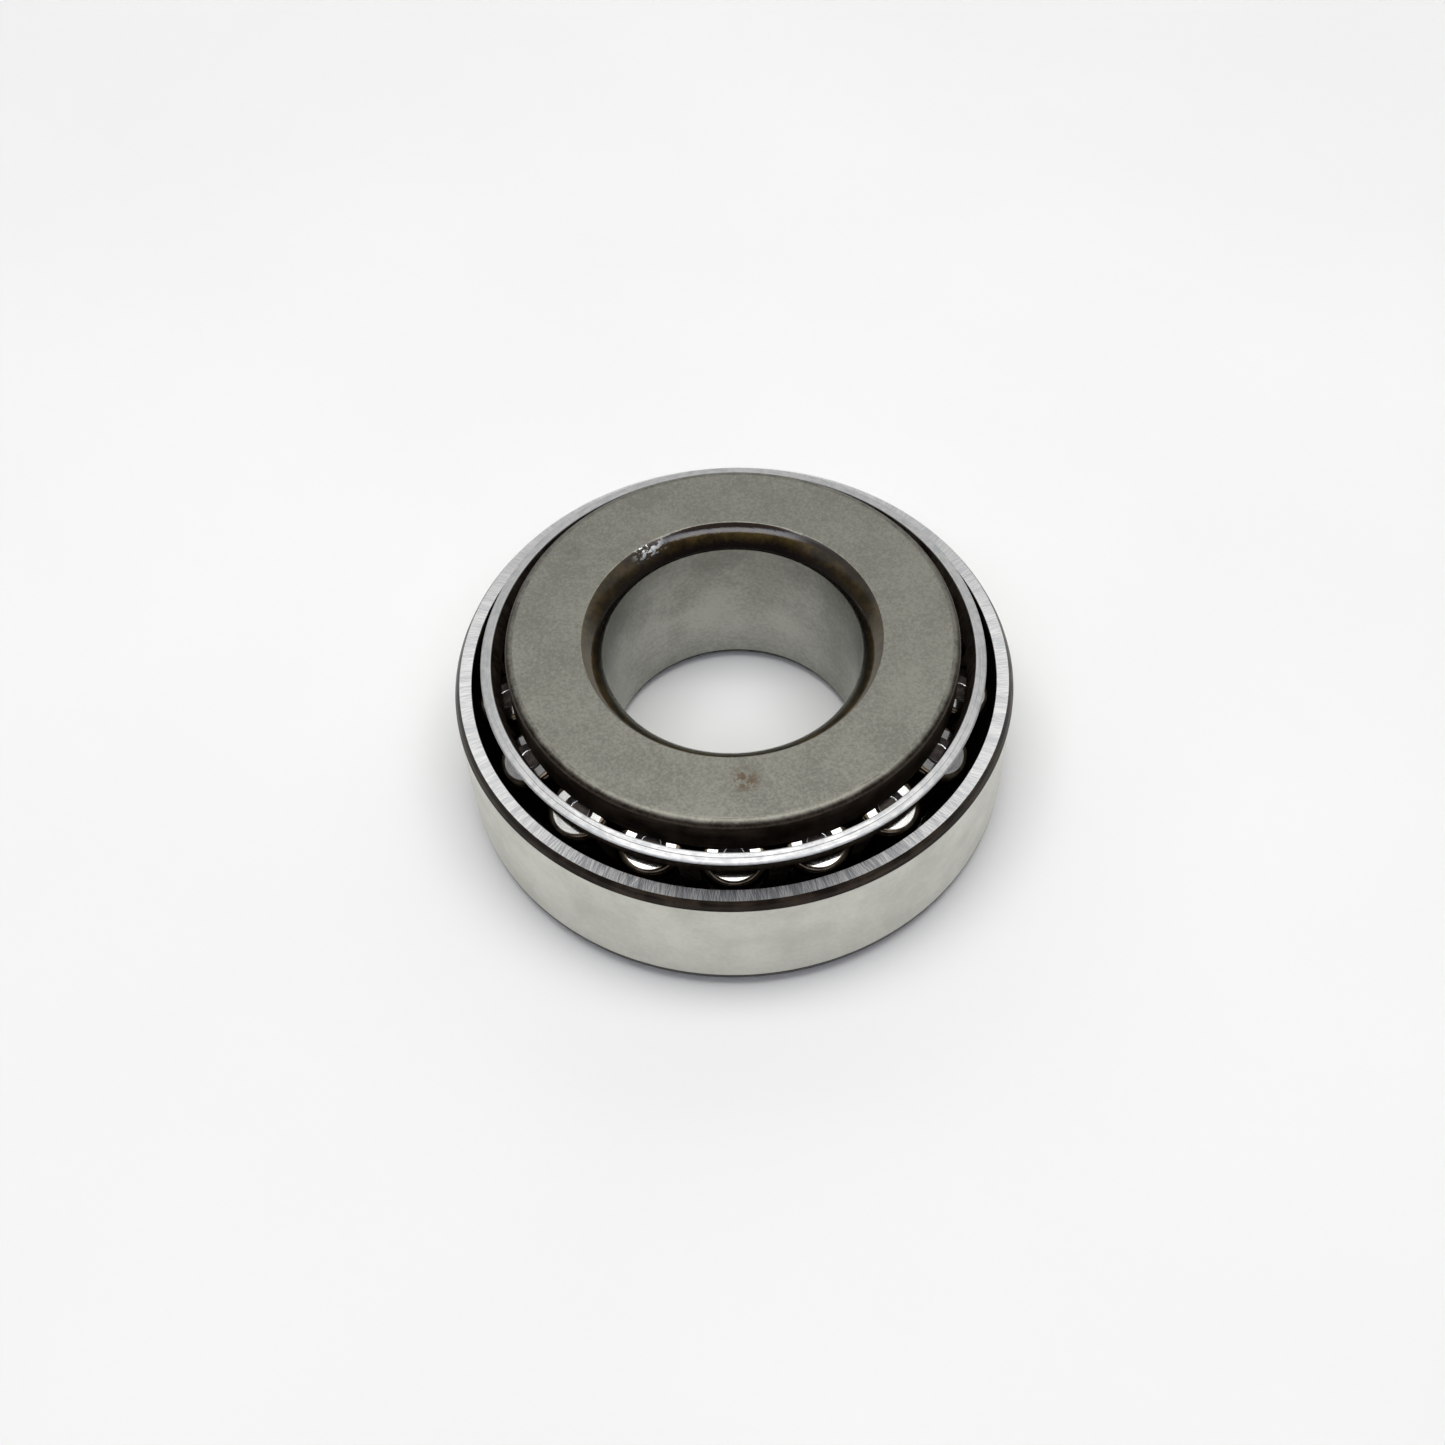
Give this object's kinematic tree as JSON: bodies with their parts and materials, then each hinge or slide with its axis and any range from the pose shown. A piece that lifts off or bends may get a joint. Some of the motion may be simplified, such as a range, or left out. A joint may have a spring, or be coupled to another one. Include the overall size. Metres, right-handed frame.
{
  "type": "tapered roller bearing",
  "caption": "Single-row tapered roller bearing: a cup, a cone with a thrust rib, a pressed-steel cage with windows, and tapered rollers with dimpled ends that roll as the cone turns.",
  "frame": {"origin": "centre of the cup's back face, on the bearing's axis", "axes": "+Z along the bearing's axis, from the cup's back face to the cone's back face; one roller lies over -Y"},
  "size_m": [0.0826, 0.0826, 0.0294],
  "materials": {
    "ring_steel": "ground and superfinished bearing steel with a light film of oil",
    "roller_steel": "fine ground, near mirror",
    "cage_steel": "pressed low-carbon steel sheet, satin, with a bright blanked edge"
  },
  "bodies": {
    "outer_ring": {"outer_ring": "ring_steel"},
    "inner_ring": {"inner_ring": "ring_steel"},
    "cage": {"cage": "cage_steel"},
    "roller_01": {"roller_01": "roller_steel"},
    "roller_02": {"roller_02": "roller_steel"},
    "roller_03": {"roller_03": "roller_steel"},
    "roller_04": {"roller_04": "roller_steel"},
    "roller_05": {"roller_05": "roller_steel"},
    "roller_06": {"roller_06": "roller_steel"},
    "roller_07": {"roller_07": "roller_steel"},
    "roller_08": {"roller_08": "roller_steel"},
    "roller_09": {"roller_09": "roller_steel"},
    "roller_10": {"roller_10": "roller_steel"},
    "roller_11": {"roller_11": "roller_steel"},
    "roller_12": {"roller_12": "roller_steel"},
    "roller_13": {"roller_13": "roller_steel"},
    "roller_14": {"roller_14": "roller_steel"},
    "roller_15": {"roller_15": "roller_steel"},
    "roller_16": {"roller_16": "roller_steel"},
    "roller_17": {"roller_17": "roller_steel"},
    "roller_18": {"roller_18": "roller_steel"}
  },
  "joints": [
    {"name": "inner_ring_spin", "type": "hinge", "parent": "outer_ring", "child": "inner_ring", "pos_m": [0, 0, 0], "axis": [0, 0, 1], "continuous": true},
    {"name": "cage_spin", "type": "hinge", "parent": "outer_ring", "child": "cage", "pos_m": [0, 0, 0], "axis": [0, 0, 1], "continuous": true},
    {"name": "roller_01_spin", "type": "hinge", "parent": "cage", "child": "roller_01", "pos_m": [0, -0.0336, 0.02295], "axis": [0, -0.3007, 0.9537], "continuous": true},
    {"name": "roller_02_spin", "type": "hinge", "parent": "cage", "child": "roller_02", "pos_m": [0.01149, -0.03157, 0.02295], "axis": [0.1028, -0.2826, 0.9537], "continuous": true},
    {"name": "roller_03_spin", "type": "hinge", "parent": "cage", "child": "roller_03", "pos_m": [0.0216, -0.02574, 0.02295], "axis": [0.1933, -0.2304, 0.9537], "continuous": true},
    {"name": "roller_04_spin", "type": "hinge", "parent": "cage", "child": "roller_04", "pos_m": [0.0291, -0.0168, 0.02295], "axis": [0.2604, -0.1504, 0.9537], "continuous": true},
    {"name": "roller_05_spin", "type": "hinge", "parent": "cage", "child": "roller_05", "pos_m": [0.03309, -0.00583, 0.02295], "axis": [0.2961, -0.0522, 0.9537], "continuous": true},
    {"name": "roller_06_spin", "type": "hinge", "parent": "cage", "child": "roller_06", "pos_m": [0.03309, 0.00583, 0.02295], "axis": [0.2961, 0.0522, 0.9537], "continuous": true},
    {"name": "roller_07_spin", "type": "hinge", "parent": "cage", "child": "roller_07", "pos_m": [0.0291, 0.0168, 0.02295], "axis": [0.2604, 0.1504, 0.9537], "continuous": true},
    {"name": "roller_08_spin", "type": "hinge", "parent": "cage", "child": "roller_08", "pos_m": [0.0216, 0.02574, 0.02295], "axis": [0.1933, 0.2304, 0.9537], "continuous": true},
    {"name": "roller_09_spin", "type": "hinge", "parent": "cage", "child": "roller_09", "pos_m": [0.01149, 0.03157, 0.02295], "axis": [0.1028, 0.2826, 0.9537], "continuous": true},
    {"name": "roller_10_spin", "type": "hinge", "parent": "cage", "child": "roller_10", "pos_m": [0, 0.0336, 0.02295], "axis": [0, 0.3007, 0.9537], "continuous": true},
    {"name": "roller_11_spin", "type": "hinge", "parent": "cage", "child": "roller_11", "pos_m": [-0.01149, 0.03157, 0.02295], "axis": [-0.1028, 0.2826, 0.9537], "continuous": true},
    {"name": "roller_12_spin", "type": "hinge", "parent": "cage", "child": "roller_12", "pos_m": [-0.0216, 0.02574, 0.02295], "axis": [-0.1933, 0.2304, 0.9537], "continuous": true},
    {"name": "roller_13_spin", "type": "hinge", "parent": "cage", "child": "roller_13", "pos_m": [-0.0291, 0.0168, 0.02295], "axis": [-0.2604, 0.1504, 0.9537], "continuous": true},
    {"name": "roller_14_spin", "type": "hinge", "parent": "cage", "child": "roller_14", "pos_m": [-0.03309, 0.00583, 0.02295], "axis": [-0.2961, 0.0522, 0.9537], "continuous": true},
    {"name": "roller_15_spin", "type": "hinge", "parent": "cage", "child": "roller_15", "pos_m": [-0.03309, -0.00583, 0.02295], "axis": [-0.2961, -0.0522, 0.9537], "continuous": true},
    {"name": "roller_16_spin", "type": "hinge", "parent": "cage", "child": "roller_16", "pos_m": [-0.0291, -0.0168, 0.02295], "axis": [-0.2604, -0.1504, 0.9537], "continuous": true},
    {"name": "roller_17_spin", "type": "hinge", "parent": "cage", "child": "roller_17", "pos_m": [-0.0216, -0.02574, 0.02295], "axis": [-0.1933, -0.2304, 0.9537], "continuous": true},
    {"name": "roller_18_spin", "type": "hinge", "parent": "cage", "child": "roller_18", "pos_m": [-0.01149, -0.03157, 0.02295], "axis": [-0.1028, -0.2826, 0.9537], "continuous": true}
  ],
  "couplings": [
    {"joint": "cage_spin", "follows": "inner_ring_spin", "ratio": 0.42975},
    {"joint": "roller_01_spin", "follows": "inner_ring_spin", "ratio": -3.3269},
    {"joint": "roller_02_spin", "follows": "inner_ring_spin", "ratio": -3.3269},
    {"joint": "roller_03_spin", "follows": "inner_ring_spin", "ratio": -3.3269},
    {"joint": "roller_04_spin", "follows": "inner_ring_spin", "ratio": -3.3269},
    {"joint": "roller_05_spin", "follows": "inner_ring_spin", "ratio": -3.3269},
    {"joint": "roller_06_spin", "follows": "inner_ring_spin", "ratio": -3.3269},
    {"joint": "roller_07_spin", "follows": "inner_ring_spin", "ratio": -3.3269},
    {"joint": "roller_08_spin", "follows": "inner_ring_spin", "ratio": -3.3269},
    {"joint": "roller_09_spin", "follows": "inner_ring_spin", "ratio": -3.3269},
    {"joint": "roller_10_spin", "follows": "inner_ring_spin", "ratio": -3.3269},
    {"joint": "roller_11_spin", "follows": "inner_ring_spin", "ratio": -3.3269},
    {"joint": "roller_12_spin", "follows": "inner_ring_spin", "ratio": -3.3269},
    {"joint": "roller_13_spin", "follows": "inner_ring_spin", "ratio": -3.3269},
    {"joint": "roller_14_spin", "follows": "inner_ring_spin", "ratio": -3.3269},
    {"joint": "roller_15_spin", "follows": "inner_ring_spin", "ratio": -3.3269},
    {"joint": "roller_16_spin", "follows": "inner_ring_spin", "ratio": -3.3269},
    {"joint": "roller_17_spin", "follows": "inner_ring_spin", "ratio": -3.3269},
    {"joint": "roller_18_spin", "follows": "inner_ring_spin", "ratio": -3.3269}
  ]
}
